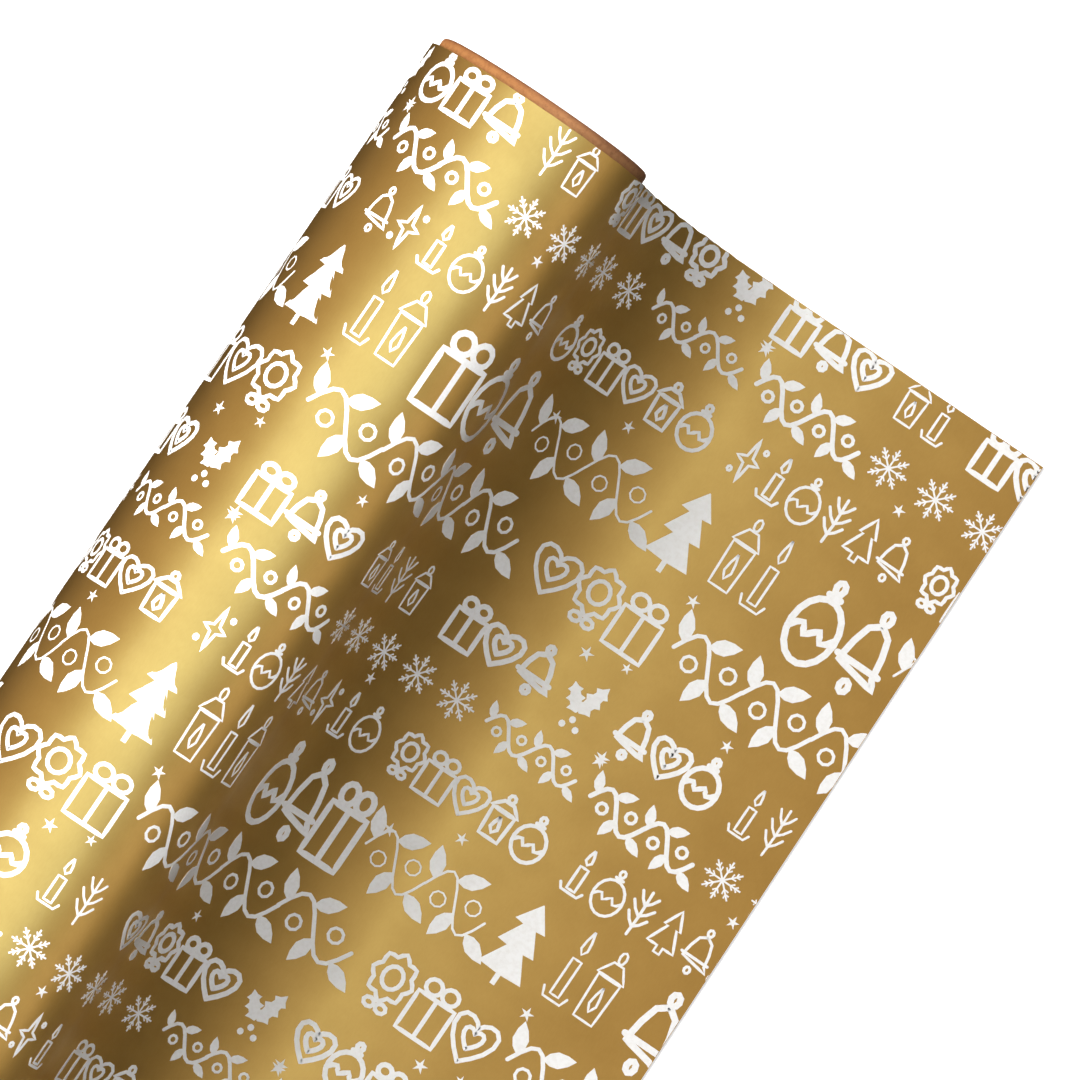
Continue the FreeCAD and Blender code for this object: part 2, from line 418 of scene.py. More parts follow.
def ribbon(path, half, closed=False, cells=1):
    """Flat points (s, y), levels (1 top, 0 bottom) and faces of a ribbon about a path.

    Each station is the path's point plus its normal times the half width times -1 to 1, in cells steps."""
    path = np.asarray(path, float)
    half = np.broadcast_to(half, len(path)).astype(float)
    if closed:
        along = np.roll(path, -1, axis=0) - np.roll(path, 1, axis=0)
    else:
        along = np.gradient(path, axis=0)
    along /= np.linalg.norm(along, axis=1, keepdims=True)
    normal = np.stack([-along[:, 1], along[:, 0]], 1)
    across = np.linspace(-1, 1, cells + 1)
    across = np.concatenate([across, across[::-1]])
    flat = path[:, None] + normal[:, None] * (half[:, None] * across)[..., None]
    level = np.tile(np.repeat([1.0, 0.0], cells + 1), len(path))
    loop = 2 * (cells + 1)
    faces = tube_faces(len(path), loop, closed)
    if not closed:
        cell = np.arange(cells)
        cap = np.stack([cell, cell + 1, loop - 2 - cell, loop - 1 - cell], 1)
        faces = np.concatenate([faces, cap, cap[:, ::-1] + loop * (len(path) - 1)])
    return flat.reshape(-1, 2), level, faces


def stroke(path, half, closed=False):
    """A line of even width, with round ends made of two more stations at each end."""
    points = walk(path, closed)
    if closed:
        return ribbon(points, half, True)
    first = (points[0] - points[1]) / np.linalg.norm(points[0] - points[1])
    last = (points[-1] - points[-2]) / np.linalg.norm(points[-1] - points[-2])
    tips = [points[0] + first * half * 0.95, points[0] + first * half * 0.65]
    tails = [points[-1] + last * half * 0.65, points[-1] + last * half * 0.95]
    width = np.concatenate([[0.3, 0.76], np.ones(len(points)), [0.76, 0.3]]) * half
    return ribbon(np.concatenate([tips, points, tails]), width)


def blade(start, end, half, profile, cells=2):
    """A filled shape about a straight rib, from rows of (share along it, share of half), as for a leaf."""
    share, width = np.array(profile, float).T
    start, end = np.asarray(start, float), np.asarray(end, float)
    return ribbon(start + share[:, None] * (end - start), np.maximum(width, 0.02) * half, cells=cells)

# %% [markdown]
# ## The print: ornaments
#
# The ornaments are the usual stock of a festive line drawing: baubles, bells, gifts, candles, firs, hearts,
# wreaths, sprigs, snowflakes and stars. Each is a short list of paths in a box one unit high, so the same
# drawing serves at any size and with any weight of line.

# %% Draw the ornaments
def ring(x, y, across, high=None, points=18, start=0.0, end=2 * math.pi):
    """Points on an ellipse about (x, y)."""
    angle = np.linspace(start, end, points, endpoint=end - start < 2 * math.pi - 0.01)
    return np.stack([x + across * np.cos(angle), y + (high or across) * np.sin(angle)], 1)


def mirrored(points):
    """The outline that a half outline and its mirror image make."""
    points = np.asarray(points, float)
    return np.concatenate([points, points[::-1] * [-1, 1]])


def bauble():
    """A round ornament with a cap, a ring and a wavy band."""
    wave = np.linspace(-1, 1, 9)
    band = np.stack([0.37 * wave, -0.14 + 0.07 * np.sin(wave * 8)], 1)
    return [(ring(0, -0.12, 0.38), True), (band, False), ([(-0.1, 0.31), (0.1, 0.31)], False),
            (ring(0, 0.42, 0.07, points=8), True)]


def bell():
    """A bell: a flared outline, a rim, a ring above and a clapper below."""
    half = [(0.4, -0.3), (0.3, -0.2), (0.25, 0.05), (0.17, 0.25), (0.0, 0.34)]
    rim = [(-0.36, -0.15), (0.36, -0.15)]
    return [(mirrored(half)[:-1], True), (rim, False), (ring(0, 0.43, 0.07, points=8), True),
            (ring(0, -0.42, 0.07, points=8), True)]


def gift():
    """A box tied with ribbon, and a bow of two loops on top."""
    box = [(-0.37, -0.48), (0.37, -0.48), (0.37, 0.16), (-0.37, 0.16)]
    return [(box, True), ([(0, -0.46), (0, 0.14)], False), (ring(0.17, 0.31, 0.15, 0.12, points=12), True),
            (ring(-0.17, 0.31, 0.15, 0.12, points=12), True)]


def candle():
    """A candle on a dish, with a flame."""
    stick = [(-0.11, -0.4), (0.11, -0.4), (0.11, 0.1), (-0.11, 0.1)]
    flame = mirrored([(0.0, 0.18), (0.08, 0.25), (0.06, 0.36), (0.0, 0.5)])
    dish = [(-0.3, -0.36), (-0.22, -0.47), (0.22, -0.47), (0.3, -0.36)]
    return [(stick, True), (flame[:-1], True), (dish, False)]


def fir():
    """A fir tree in outline, with two tiers and a trunk."""
    half = [(0.0, 0.48), (0.22, 0.1), (0.12, 0.1), (0.36, -0.34), (0.08, -0.34), (0.08, -0.48)]
    return [(mirrored(half)[:-1], True)]


def heart():
    """A heart inside a heart."""
    angle = np.linspace(0, 2 * math.pi, 22, endpoint=False)
    outline = np.stack([0.42 * np.sin(angle) ** 3, 0.34 * np.cos(angle) - 0.13 * np.cos(2 * angle)
                        - 0.06 * np.cos(3 * angle)], 1)
    return [(outline, True), (outline * 0.45, True)]


def wreath():
    """A scalloped ring with a smaller ring inside, and a bow."""
    angle = np.linspace(0, 2 * math.pi, 32, endpoint=False)
    reach = 0.36 + 0.04 * np.cos(angle * 8)
    rim = np.stack([reach * np.cos(angle), 0.08 + reach * np.sin(angle)], 1)
    return [(rim, True), (ring(0, 0.08, 0.18, points=14), True),
            (ring(0.12, -0.4, 0.1, 0.07, points=8), True), (ring(-0.12, -0.4, 0.1, 0.07, points=8), True)]


def sprig():
    """An upright twig with pairs of leaves."""
    lines = [([(0, -0.5), (0.02, -0.1), (0, 0.46)], False)]
    for high in (-0.28, -0.04, 0.2):
        reach = 0.3 - 0.25 * abs(high + 0.1)
        lines += [([(side * reach, high + 0.2), (side * reach * 0.55, high + 0.06), (0, high - 0.04)], False)
                  for side in (1, -1)]
    return lines


def sparkle():
    """A four-pointed star in outline, with a dot each side."""
    angle = np.arange(8) * math.pi / 4
    reach = np.where(np.arange(8) % 2 == 0, np.tile([0.3, 0, 0.5, 0], 2), 0.11)
    outline = np.stack([reach * np.cos(angle), reach * np.sin(angle)], 1)
    dots = [(ring(side * 0.27, side * 0.32, 0.05, points=7), True) for side in (1, -1)]
    return [(outline, True), *dots]


def lantern():
    """A lantern: a glazed body under a roof, with a ring to hang it by and a flame inside."""
    body = [(-0.24, -0.46), (0.24, -0.46), (0.28, 0.12), (-0.28, 0.12)]
    roof = [(-0.34, 0.14), (0.34, 0.14), (0.12, 0.33), (-0.12, 0.33)]
    flame = mirrored([(0.0, -0.34), (0.09, -0.24), (0.06, -0.12), (0.0, 0.0)])
    return [(body, True), (roof, True), (flame[:-1], True), (ring(0, 0.42, 0.08, points=8), True)]


DRAWINGS = {"bauble": bauble, "bell": bell, "gift": gift, "candle": candle, "fir": fir, "heart": heart,
            "wreath": wreath, "sprig": sprig, "sparkle": sparkle, "lantern": lantern}


def drawn(name, high, wide, line):
    """One drawing at a height, narrowed where its place is narrow, with lines of a width: its strokes."""
    scale = np.array([min(high, 1.18 * wide), high])
    return [stroke(np.asarray(path) * scale, line / 2, closed) for path, closed in DRAWINGS[name]()]

# %% Draw the filled figures and the garlands
STAR_ARM = [(0, 0.75), (0.42, 0.5), (0.75, 0.22), (1, 0)]
SPIKY_LEAF = [(0, 0.05), (0.1, 0.5), (0.16, 0.95), (0.27, 0.55), (0.38, 0.6), (0.47, 1), (0.58, 0.55),
              (0.68, 0.5), (0.76, 0.8), (0.85, 0.35), (1, 0)]
PLAIN_LEAF = [(0, 0.1), (0.2, 0.75), (0.45, 1), (0.75, 0.65), (1, 0)]


def star(size):
    """A filled five-pointed star: five tapered arms from its middle."""
    angle = math.pi / 2 + np.arange(5) * 2 * math.pi / 5
    tips = np.stack([np.cos(angle), np.sin(angle)], 1) * size / 2
    return [blade((0, 0), tip, size * 0.17, STAR_ARM) for tip in tips]


def snowflake(size, line):
    """Eight arms, each with two pairs of barbs that point outwards, round a small disc."""
    strokes = [blade((0, -size * 0.055), (0, size * 0.055), size * 0.055, [(0, 0.3), (0.5, 1), (1, 0.3)])]
    for angle in np.arange(8) * math.pi / 4:
        turn = np.array([[math.cos(angle), math.sin(angle)], [-math.sin(angle), math.cos(angle)]]) * size / 2
        strokes.append(ribbon(walk(np.array([(0.06, 0), (1, 0)]) @ turn), line / 2))
        for start, reach in ((0.42, 0.2), (0.66, 0.17)):
            barb = np.array([(start + reach, reach * 0.8), (start, 0), (start + reach, -reach * 0.8)])
            strokes.append(ribbon(barb @ turn, line / 2 * 0.9))
    return strokes


def tree(high):
    """A filled fir: three tiers that widen downwards, and a trunk."""
    rows = np.array([(0, 0.02), (0.27, 0.7), (0.282, 0.3), (0.55, 0.84), (0.562, 0.38), (0.86, 1),
                     (0.874, 0.11), (1, 0.11)])
    path = np.stack([np.zeros(len(rows)), high / 2 - rows[:, 0] * high], 1)
    return [ribbon(path, rows[:, 1] * high * 0.27, cells=6)]


def holly(high):
    """Two spiky leaves and three berries."""
    leaves = [blade((0.02 * high, -0.1 * high), (0.22 * high, 0.5 * high), high * 0.17, SPIKY_LEAF),
              blade((-0.02 * high, -0.12 * high), (-0.3 * high, 0.3 * high), high * 0.16, SPIKY_LEAF)]
    spots = [(0.0, -0.24), (0.13, -0.36), (-0.11, -0.38)]
    berries = [blade((x * high, (y - 0.055) * high), (x * high, (y + 0.055) * high), high * 0.055,
                     [(0, 0.4), (0.25, 0.9), (0.5, 1), (0.75, 0.9), (1, 0.4)]) for x, y in spots]
    return leaves + berries


def garland(wide, high, line):
    """One wave of a leafy festoon: a sine-shaped stem, four leaves off it and two open berries."""
    t = np.linspace(0, 1, 13)
    stem = np.stack([(t - 0.5) * wide, 0.26 * high * np.sin(2 * math.pi * t)], 1)
    strokes = [stroke(stem, line / 2)]
    leaf = 0.34 * high
    for share, lean in ((0.06, 1.9), (0.36, 0.5), (0.56, -1.9), (0.86, -0.5)):
        base = np.array([(share - 0.5) * wide, 0.26 * high * math.sin(2 * math.pi * share)])
        tip = base + leaf * np.array([math.cos(lean), math.sin(lean)])
        strokes.append(blade(base, tip, leaf * 0.25, PLAIN_LEAF))
    for share, side in ((0.27, -1), (0.75, 1)):
        berry = ring((share - 0.5) * wide, side * high * 0.06, high * 0.08, points=9)
        strokes.append(stroke(berry, line / 2.6, True))
    return strokes

# %% [markdown]
# ## The print: laid out in rows
#
# The print is a tile that repeats across the web and along it, with every other row of tiles moved to one
# side. Its rows run round the roll. The layout below gives each band of ornaments its place as seen from
# above, in layout millimetres of 1.018 mm; a table from what is seen to length on the sheet then says where
# it lies on the paper, so a band down the steep part of the leaf holds more ornaments than one on the flat.

# %% Tables between the plan and the sheet
REPEAT = 85.0 * MM
TILE_ROW = 84.5 * MM
ROW_SHIFT = 18.2 * MM
COLUMN_START = -0.3 * MM
SIDE_LIMIT = math.radians(-50)
PLAN_MM = 1.018 * MM

fine_s = np.linspace(tail_s, 0.36, 6000)
fine_slope = sheet_line(fine_s)[2]
plan_rate = np.where((fine_s < 0) & (fine_slope < SIDE_LIMIT), 1.0, np.cos(fine_slope))
plan_x = np.concatenate([[0], np.cumsum((plan_rate[1:] + plan_rate[:-1]) / 2 * np.diff(fine_s))])
plan_x -= np.interp(0, fine_s, plan_x)


def to_length(x):
    """Length on the sheet of a place seen from above; past the roll's side it runs on at full length."""
    return np.interp(x, plan_x, fine_s)


def web_drift(s):
    """How far the rows drift along the roll between its top and the table: the leaf is drawn off askew."""
    height = sheet_line(np.clip(s, 0, None))[1]
    return 0.96 * MM * (turn_middle - height) / turn_middle

# %% The bands of one tile
# Each row: kind, left and right ends, top and bottom, line width, pitch, and the drawings in turn. Each star:
# its left place, its depth in the tile, and its size. Places are in layout millimetres, sizes in real ones.
PAST_EDGE = 12 * MM
BANDS = [
    ("drawings", -24, 0, 0.5, 11.0, 1.05, 8.6, ("bauble", "gift", "bell", "heart")),
    ("drawings", 3.5, 16, 0.5, 11.0, 0.5, 6.6, ("candle", "sprig", "lantern")),
    ("drawings", 21.5, 45.5, 0.5, 11.0, 1.1, 8.6, ("heart", "bell", "wreath", "gift")),
    ("holly", 49, 55, 1.0, 13.0, 0, 12, ()),
    ("garland", -20.5, 3.0, 13.5, 26.5, 0.95, 11.8, ()),
    ("snowflake", 4.0, 36.5, 15.1, 23.3, 0.37, 10.9, ()),
    ("garland", 38.5, 59, 14.0, 24.5, 0.75, 10.3, ()),
    ("drawings", -17, 23.5, 28.2, 38.0, 0.6, 7.0, ("fir", "bell", "sparkle", "candle", "bauble", "sprig")),
    ("drawings", 26.5, 62, 28.2, 38.0, 0.8, 7.6, ("gift", "heart", "lantern", "bauble", "wreath")),
    ("tree", -20.5, -11.5, 42.3, 60.3, 0, 9, ()),
    ("drawings", -8.5, 5.8, 41.0, 57.0, 0.5, 7.2, ("candle", "lantern")),
    ("drawings", 9.5, 31, 42.0, 60.0, 1.35, 11.4, ("bauble", "bell", "gift")),
    ("garland", 32.5, 60, 42.0, 61.0, 0.5, 13.7, ()),
    ("drawings", -37, -8.5, 64.5, 77.5, 0.9, 10.0, ("wreath", "gift", "heart")),
    ("garland", -5.5, 42, 61.0, 80.0, 0.85, 15.8, ()),
]
STARS = [(-22.8, 13.5, 3.2), (15.6, 24.8, 2.8), (60.8, 12.8, 3.2), (34.8, 46.8, 3.0), (47.3, 40.6, 2.8),
         (-7.2, 61.3, 3.0), (13.7, 80.6, 2.8), (-18.5, 80.9, 3.2), (-10.5, 79.0, 2.4)]


def hung_y(across, tile):
    """Place along the roll of a depth in a tile, counted from the roll's +Y end."""
    return half_width + 0.5 * MM - tile * TILE_ROW - PLAN_MM * across


def scatter(first_s, last_s):
    """Every ornament of the print between two lengths: figure, size, weight, and its middle (s, y)."""
    found = []
    for tile in range(-1, 10):
        for column in range(-2, 4):
            shift = column * REPEAT + (tile % 2) * ROW_SHIFT + COLUMN_START
            for number, (kind, left, right, top, bottom, line, pitch, names) in enumerate(BANDS):
                start, end = to_length(np.array([left, right]) * PLAN_MM + shift)
                count = max(1, round((end - start) / (pitch * PLAN_MM)))
                places = start + (np.arange(count) + 0.5) * (end - start) / count
                y = hung_y((top + bottom) / 2, tile)
                high = (bottom - top) * PLAN_MM
                for turn, s in enumerate(places):
                    name = names[(turn + number + column + tile) % len(names)] if names else kind
                    wide = round((end - start) / count / MM * 2) / 2 if kind in ("garland", "drawings") else 0
                    found.append((kind, name, round(high / MM, 2), line, wide, s, y))
            for left, deep, size in STARS:
                s = to_length(left * PLAN_MM + shift)
                found.append(("star", "star", size, 0, 0, s, hung_y(deep, tile)))
    return [row for row in found if first_s < row[5] < last_s and abs(row[6]) < half_width + PAST_EDGE]


def figure(kind, name, high, line, wide):
    """The strokes of one ornament as flat points, levels and faces, and the stroke that each belongs to."""
    if kind == "drawings":
        strokes = drawn(name, high * MM, wide * MM, line * MM)
    elif kind == "garland":
        strokes = garland(wide * MM, high * MM, line * MM)
    elif kind == "snowflake":
        strokes = snowflake(high * MM, line * MM)
    else:
        strokes = {"star": star, "tree": tree, "holly": holly}[kind](high * MM)
    sizes = np.array([len(flat) for flat, _, _ in strokes])
    starts = np.cumsum(sizes) - sizes
    flats = np.concatenate([flat for flat, _, _ in strokes])
    levels = np.concatenate([row[1] * (1 + 0.35 * (n * 0.618 % 1)) for n, row in enumerate(strokes)])
    faces = np.concatenate([face + start for (_, _, face), start in zip(strokes, starts)])
    owner = np.repeat(np.arange(len(strokes)), [len(face) for _, _, face in strokes])
    return flats, levels, faces, starts, owner

# %% [markdown]
# ## The print: laid on the paper
#
# Each kind of ornament is drawn once and set down everywhere it occurs in one step, as arrays. An ornament
# that crosses an edge of the sheet is trimmed there, as the slitter's knife trims a real print: its points
# past the edge are drawn back to the edge, and strokes that lie wholly past it are dropped.

# %% Lay the ornaments on the sheets
INK_TOP = 0.028 * MM
INK_SUNK = 0.02 * MM
MARGIN = 0.12 * MM
MOST_FACES = 75000


def lay_print(name, ornaments, first_s, edge_s, half, place, drift, body):
    """Sets figures down on a sheet, trims them at its edges, and makes pieces of up to MOST_FACES faces."""
    groups = {}
    for *key, s, y in ornaments:
        groups.setdefault(tuple(key), []).append((s, y))
    rows, face_rows, middles, first = [], [], [], 0
    for key, places in groups.items():
        flat, level, faces, starts, owner = figure(*key)
        middle = np.array(places)
        raw = flat[None] + middle[:, None]
        raw[..., 1] += drift(raw[..., 0])
        s = np.clip(raw[..., 0], first_s + MARGIN, edge_s(raw[..., 1]) - MARGIN)
        y = np.clip(raw[..., 1], MARGIN - half, half - MARGIN)
        past = (s != raw[..., 0]) | (y != raw[..., 1])
        kept = ~np.logical_and.reduceat(past, starts, axis=1)[:, owner]
        numbered = faces[None] + first + (np.arange(len(places)) * len(flat))[:, None, None]
        lifted = level * (1 + 0.3 * ((len(rows) + np.arange(len(places))) * 0.7549 % 1))[:, None]
        rows.append(np.stack([s, y, lifted], -1).reshape(-1, 3))
        face_rows.append(numbered[kept])
        middles.append(np.broadcast_to(middle[:, 1:], kept.shape)[kept])
        first += s.size
    s, y, level = np.concatenate(rows).T
    faces, middle_y = np.concatenate(face_rows), np.concatenate(middles)
    points = place(s, y, paper / 2 + np.where(level > 0, INK_TOP * level, -INK_SUNK))
    cuts = np.quantile(middle_y, np.linspace(0, 1, int(np.ceil(len(faces) / MOST_FACES)) + 1))
    bins = np.clip(np.searchsorted(cuts, middle_y, side="right") - 1, 0, len(cuts) - 2)
    pieces = []
    for number in range(len(cuts) - 1):
        used, packed = np.unique(faces[bins == number], return_inverse=True)
        piece = make_piece(f"{name}_{number + 1}", points[used], packed.reshape(-1, 4), body)
        pieces.append(piece)
    return pieces


leaf_ornaments = scatter(tail_s - PAST_EDGE, free_edge_s(-half_width) + PAST_EDGE)
print(len(leaf_ornaments), "ornaments on the leaf and the outer turn")
leaf_ink = lay_print("leaf_ink", leaf_ornaments, tail_s, free_edge_s, half_width, place_leaf, web_drift,
                     "leaf")
drawn_ornaments = scatter(drawn_lines[0] - PAST_EDGE, drawn_edge_s(-drawn_half) + PAST_EDGE)
drawn_ink = lay_print("drawn_ink", drawn_ornaments, drawn_lines[0], drawn_edge_s, drawn_half, place_drawn,
                      lambda s: web_drift(flat_s + 0 * s), "drawn")

# %% [markdown]
# ## Materials: one colour function, one node function
#
# Colours are picked as they look on a screen, in sRGB hex, and a shader works in linear light, so one
# function turns the one into the other. A second small function adds a node with its settings and its
# links, which keeps every material below short enough to read. A new colour ramp has two stops, so the
# first two rows of stops set those, and the others are added between them.

# %% Two helpers for materials
def linear(code, alpha=1.0):
    """An sRGB hex colour as linear numbers: the usual curve, with its straight part near black."""
    parts = [int(code[i:i + 2], 16) / 255 for i in (1, 3, 5)]
    return (*[part / 12.92 if part <= 0.04045 else ((part + 0.055) / 1.055) ** 2.4 for part in parts], alpha)


def node(tree, kind, settings=None, stops=(), **inputs):
    """Adds one node. settings are its own properties, stops are (position, hex colour) rows for a colour
    ramp, and inputs are values or links by socket name, with _0 for a socket known by its number."""
    made = tree.nodes.new(kind)
    for name, value in (settings or {}).items():
        setattr(made, name, value)
    for number, (position, code) in enumerate(stops):
        stop = made.color_ramp.elements[number] if number < 2 else made.color_ramp.elements.new(position)
        stop.position = position
        stop.color = linear(code)
    for name, value in inputs.items():
        socket = made.inputs[int(name[1:])] if name[0] == "_" else made.inputs[name.replace("_", " ")]
        if isinstance(value, bpy.types.NodeSocket):
            tree.links.new(value, socket)
        else:
            socket.default_value = value
    return made


def material(name):
    """A new material with its shader, and the object's own coordinates to put patterns in."""
    made = bpy.data.materials.new(name)
    made.use_nodes = True
    tree = made.node_tree
    shader = tree.nodes["Principled BSDF"]
    place = tree.nodes.new("ShaderNodeTexCoord").outputs["Object"]
    return made, tree, shader, place


def attach(piece, *finishes):
    """Puts materials on a piece, in the order of its faces' finish numbers."""
    piece.data.materials.clear()
    for finish in finishes:
        piece.data.materials.append(finish)

# %% [markdown]
# ## Metallised gold paper
#
# Gold wrap is a thin paper coated with a bronze-coloured metal layer under clear lacquer. It has the
# coloured reflection of a metal, but a soft one, because the paper's fibres show through as a fine
# unevenness. The colour isn't quite even either: the coating varies a little from place to place.

# %% Gold paper
gold, tree_, shader, place = material("metallised_gold_paper")
patch = node(tree_, "ShaderNodeTexNoise", Vector=place, Scale=90.0, Detail=3.0).outputs["Fac"]
fibre_place = node(tree_, "ShaderNodeMapping", Vector=place, Scale=(2600, 900, 2600)).outputs["Vector"]
fibre = node(tree_, "ShaderNodeTexNoise", Vector=fibre_place, Scale=1.0, Detail=4.0).outputs["Fac"]
colour = node(tree_, "ShaderNodeValToRGB", stops=[(0.3, "#C29E58"), (0.7, "#CBA75F")], Fac=patch)
tree_.links.new(colour.outputs["Color"], shader.inputs["Base Color"])
gloss = node(tree_, "ShaderNodeMapRange", Value=fibre, From_Min=0.3, From_Max=0.7, To_Min=0.46, To_Max=0.54)
tree_.links.new(gloss.outputs["Result"], shader.inputs["Roughness"])
grain = node(tree_, "ShaderNodeBump", Height=fibre, Strength=0.12, Distance=0.00002)
tree_.links.new(grain.outputs["Normal"], shader.inputs["Normal"])
shader.inputs["Metallic"].default_value = 1.0
shader.inputs["Coat Weight"].default_value = 0.12
shader.inputs["Coat Roughness"].default_value = 0.12

# %% [markdown]
# ## Uncoated white back
#
# The back and the cut edges are bare paper: matte, a little warm, with a fine cloudy formation that comes
# from how the fibres settle on the paper machine's wire.

# %% Paper back
back, tree_, shader, place = material("uncoated_paper_back")
cloud = node(tree_, "ShaderNodeTexNoise", Vector=place, Scale=400.0, Detail=5.0, Roughness=0.7).outputs["Fac"]
colour = node(tree_, "ShaderNodeValToRGB", stops=[(0.3, "#E4E1DA"), (0.7, "#F1EFEA")], Fac=cloud)
tree_.links.new(colour.outputs["Color"], shader.inputs["Base Color"])
tooth = node(tree_, "ShaderNodeBump", Height=cloud, Strength=0.2, Distance=0.00003)
tree_.links.new(tooth.outputs["Normal"], shader.inputs["Normal"])
shader.inputs["Roughness"].default_value = 0.85

# %% [markdown]
# ## White printing ink
#
# The ink is opaque white, laid thick enough to hide the gold. It is smoother than bare paper, with a slight
# mottle where the film is thinner, and it keeps a weak sheen.

# %% White ink
ink, tree_, shader, place = material("opaque_white_ink")
mottle = node(tree_, "ShaderNodeTexNoise", Vector=place, Scale=1400.0, Detail=3.0).outputs["Fac"]
colour = node(tree_, "ShaderNodeValToRGB", stops=[(0.25, "#F2F0EC"), (0.6, "#FAF9F7")], Fac=mottle)
tree_.links.new(colour.outputs["Color"], shader.inputs["Base Color"])
film = node(tree_, "ShaderNodeBump", Height=mottle, Strength=0.1, Distance=0.00001)
tree_.links.new(film.outputs["Normal"], shader.inputs["Normal"])
shader.inputs["Roughness"].default_value = 0.5

# %% [markdown]
# ## Kraft core board
#
# Core board is unbleached recycled fibre: brown, matte, flecked with darker and lighter fibres that lie
# along the strip, and mottled where the pulp is thicker.

# %% Kraft board
kraft, tree_, shader, place = material("wound_kraft_board")
cloud = node(tree_, "ShaderNodeTexNoise", Vector=place, Scale=260.0, Detail=4.0).outputs["Fac"]
fleck = node(tree_, "ShaderNodeTexNoise", Vector=place, Scale=950.0, Detail=6.0, Roughness=0.75)
colour = node(tree_, "ShaderNodeValToRGB", stops=[(0.3, "#8D5A32"), (0.7, "#A67142")], Fac=cloud)
darker = node(tree_, "ShaderNodeValToRGB", stops=[(0.35, "#7A4A28"), (0.55, "#AD7744")],
              Fac=fleck.outputs["Fac"])
mixed = node(tree_, "ShaderNodeMix", {"data_type": "RGBA"}, _0=0.45, _6=colour.outputs["Color"],
             _7=darker.outputs["Color"])
along = node(tree_, "ShaderNodeSeparateXYZ", Vector=place).outputs["Y"]
from_middle = node(tree_, "ShaderNodeMath", {"operation": "ABSOLUTE"}, _0=along).outputs["Value"]
# painted shade: the board's colour darkens over the last millimetre towards each cut end, where the rounded
# rim turns away from the light
painted_rim_shade = node(tree_, "ShaderNodeMapRange", Value=from_middle, From_Min=core_half - 1.1 * MM,
               From_Max=core_half - 0.1 * MM, To_Max=0.75)
kraft_with_rim_shade = node(tree_, "ShaderNodeMix", {"data_type": "RGBA"}, _0=painted_rim_shade.outputs["Result"],
              _6=mixed.outputs[2], _7=linear("#6E3A1E"))
tree_.links.new(kraft_with_rim_shade.outputs[2], shader.inputs["Base Color"])
nap = node(tree_, "ShaderNodeBump", Height=fleck.outputs["Fac"], Strength=0.2, Distance=0.00004)
tree_.links.new(nap.outputs["Normal"], shader.inputs["Normal"])
shader.inputs["Roughness"].default_value = 0.8

# %% [markdown]
# ## Double-sided tape
#
# The first turn is held to the core by a strip of thin clear tape. Its adhesive is slightly cloudy, with
# small bubbles where it hasn't wetted the board.

# %% Tape
tape, tree_, shader, place = material("clear_double_sided_tape")
bubble = node(tree_, "ShaderNodeTexVoronoi", Vector=place, Scale=900.0).outputs["Distance"]
colour = node(tree_, "ShaderNodeValToRGB", stops=[(0.1, "#E9E4D2"), (0.5, "#D8CDAA")], Fac=bubble)
tree_.links.new(colour.outputs["Color"], shader.inputs["Base Color"])
shader.inputs["Roughness"].default_value = 0.3

# %% Put the materials on
attach(leaf_paper, gold, back)
attach(drawn_paper, gold, back)
attach(wound_turns, gold, back)
for piece in leaf_ink + drawn_ink:
    attach(piece, ink)
for strip in strips:
    attach(strip, kraft)
for slot in frame["nodes"]["starter_tape"].material_slots:
    slot.material = tape

# %% [markdown]
# ## Floor and light
#
# The roll lies on a plain white table under soft studio light. A large lamp on the left and a weak one
# above give the white ink and the table their light. Gold shows what it reflects, so it has lamps of its
# own that only gloss can see: a broad one over the roll's top and a faint one low on its right. All the
# rest of what the gold reflects is a world that is pale at the upper left and dark at the lower right.

# %% Table
TABLE_REACH = 30.0
table_z = drawn_low.z - 0.05 * MM
table_points = TABLE_REACH * np.array([(-1, -1, 0), (1, -1, 0), (1, 1, 0), (-1, 1, 0)])
table_points[:, 2] = table_z
table_mesh = bpy.data.meshes.new("table")
table_mesh.from_pydata(table_points.tolist(), [], [(0, 1, 2, 3)])
table = bpy.data.objects.new("table", table_mesh)
bpy.context.scene.collection.objects.link(table)
white, tree_, shader, place = material("painted_white_table")
shade = node(tree_, "ShaderNodeTexNoise", Vector=place, Scale=40.0, Detail=2.0).outputs["Fac"]
colour = node(tree_, "ShaderNodeValToRGB", stops=[(0.3, "#E4E4E4"), (0.7, "#E8E8E8")], Fac=shade)
tree_.links.new(colour.outputs["Color"], shader.inputs["Base Color"])
shader.inputs["Roughness"].default_value = 0.9
shader.inputs["Emission Color"].default_value = linear("#FFFFFF")
shader.inputs["Emission Strength"].default_value = 0.75
attach(table, white)
table.visible_glossy = False
table.visible_diffuse = False

# %% Backdrop
# A wide white dome that only the camera sees, so it neither lights the roll nor shows in its gloss.
DOME_RADIUS = 60.0
DOME_TURNS, DOME_RISES = 49, 17
dome_turn = np.linspace(0, 2 * math.pi, DOME_TURNS)
dome_rise = np.linspace(-0.5, 0.5, DOME_RISES) * math.pi
around, rise = np.meshgrid(dome_turn, dome_rise, indexing="ij")
dome_points = np.stack([np.cos(around) * np.cos(rise), np.sin(around) * np.cos(rise), np.sin(rise)], -1)
dome_points = DOME_RADIUS * dome_points.reshape(-1, 3)
dome_mesh = bpy.data.meshes.new("backdrop")
dome_mesh.from_pydata(dome_points.tolist(), [], grid_faces(DOME_TURNS, DOME_RISES).tolist())
backdrop = bpy.data.objects.new("backdrop", dome_mesh)
bpy.context.scene.collection.objects.link(backdrop)
paper_white, tree_, shader, place = material("white_backdrop_paper")
shader.inputs["Base Color"].default_value = linear("#000000")
shader.inputs["Emission Color"].default_value = linear("#FAFAFA")
shader.inputs["Emission Strength"].default_value = 1.0
attach(backdrop, paper_white)
backdrop.visible_diffuse = False
backdrop.visible_glossy = False
backdrop.visible_shadow = False
backdrop.visible_transmission = False

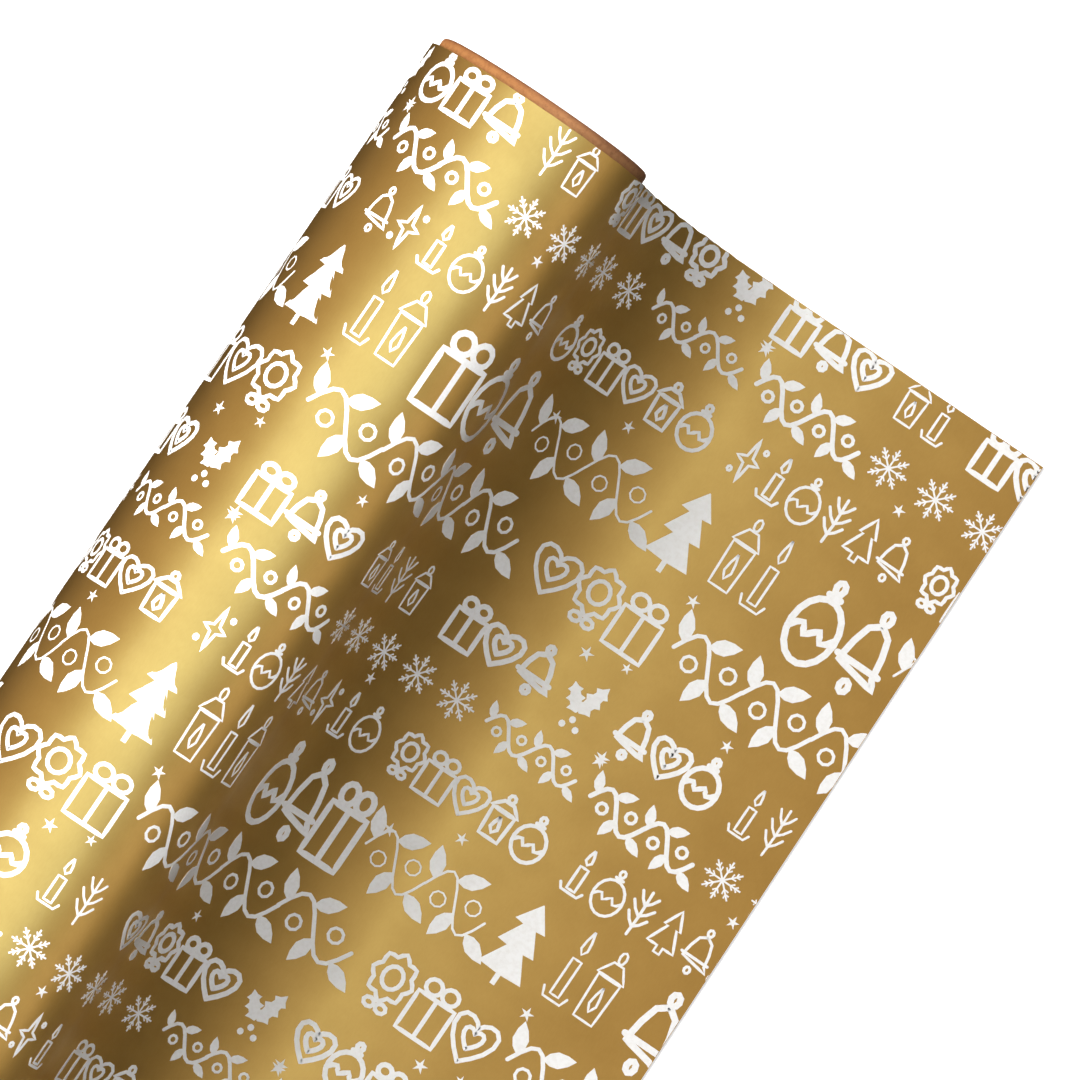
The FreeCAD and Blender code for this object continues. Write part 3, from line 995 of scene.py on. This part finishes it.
# %% Lamps
def lamp(name, middle, size, aim_at, power, colour, gloss_only=False, gloss=True, spread=180):
    """A rectangular lamp: its middle and what it points at are in metres, its size is (across, along Y)."""
    data = bpy.data.lights.new(name, "AREA")
    data.shape = "RECTANGLE"
    data.size, data.size_y = size
    data.energy = power
    data.color = linear(colour)[:3]
    data.spread = math.radians(spread)
    made = bpy.data.objects.new(name, data)
    bpy.context.scene.collection.objects.link(made)
    away = (Vector(middle) - Vector(aim_at)).normalized()
    side = Vector((0, 1, 0)).cross(away).normalized()
    turned = Matrix((side, away.cross(side), away)).transposed()
    made.matrix_world = Matrix.Translation(middle) @ turned.to_4x4()
    made.visible_camera = False
    made.visible_diffuse = not gloss_only
    made.visible_glossy = gloss
    return made


lamp("key_left", (-1.68, 0.2, 1.09), (0.85, 2.5), (0.05, 0.2, 0), 92, "#FFFFFF", gloss=False)
lamp("top_fill", (0.015, 0.12, 0.070), (0.02, 1.4), (0.015, 0.12, 0), 0.55, "#FFFFFF", gloss=False)
lamp("over_roll", (0.002, 0.12, 0.085), (0.100, 1.4), (0.002, 0.12, 0), 0.84, "#C8EAFF", gloss_only=True)
lamp("right_edge", (0.078, 0.12, 0.042), (0.03, 1.4), (0.018, 0.12, 0.017), 0.042, "#FFF0DC", gloss_only=True,
     spread=80)

# %% Surroundings for the gold
world = bpy.data.worlds.new("studio")
bpy.context.scene.world = world
world.use_nodes = True
world.cycles_visibility.diffuse = False
sky_tree = world.node_tree
way = node(sky_tree, "ShaderNodeTexCoord").outputs["Generated"]
leaning = node(sky_tree, "ShaderNodeVectorMath", {"operation": "DOT_PRODUCT"}, _0=way, _1=(-0.6, 0, 0.8))
share = node(sky_tree, "ShaderNodeMapRange", Value=leaning.outputs["Value"], From_Min=-1.0, From_Max=1.0)
glow_stops = [(0.0, "#060504"), (1.0, "#F2E0CC"), (0.12, "#0A0806"), (0.22, "#14100D"), (0.32, "#30281F"),
              (0.46, "#75685B"), (0.595, "#A39486"), (0.7, "#BBAB9B"), (0.84, "#DAC7B3"), (0.9, "#D8C4AF")]
glow = node(sky_tree, "ShaderNodeValToRGB", stops=glow_stops, Fac=share.outputs["Result"])
sky_tree.links.new(glow.outputs["Color"], sky_tree.nodes["Background"].inputs["Color"])
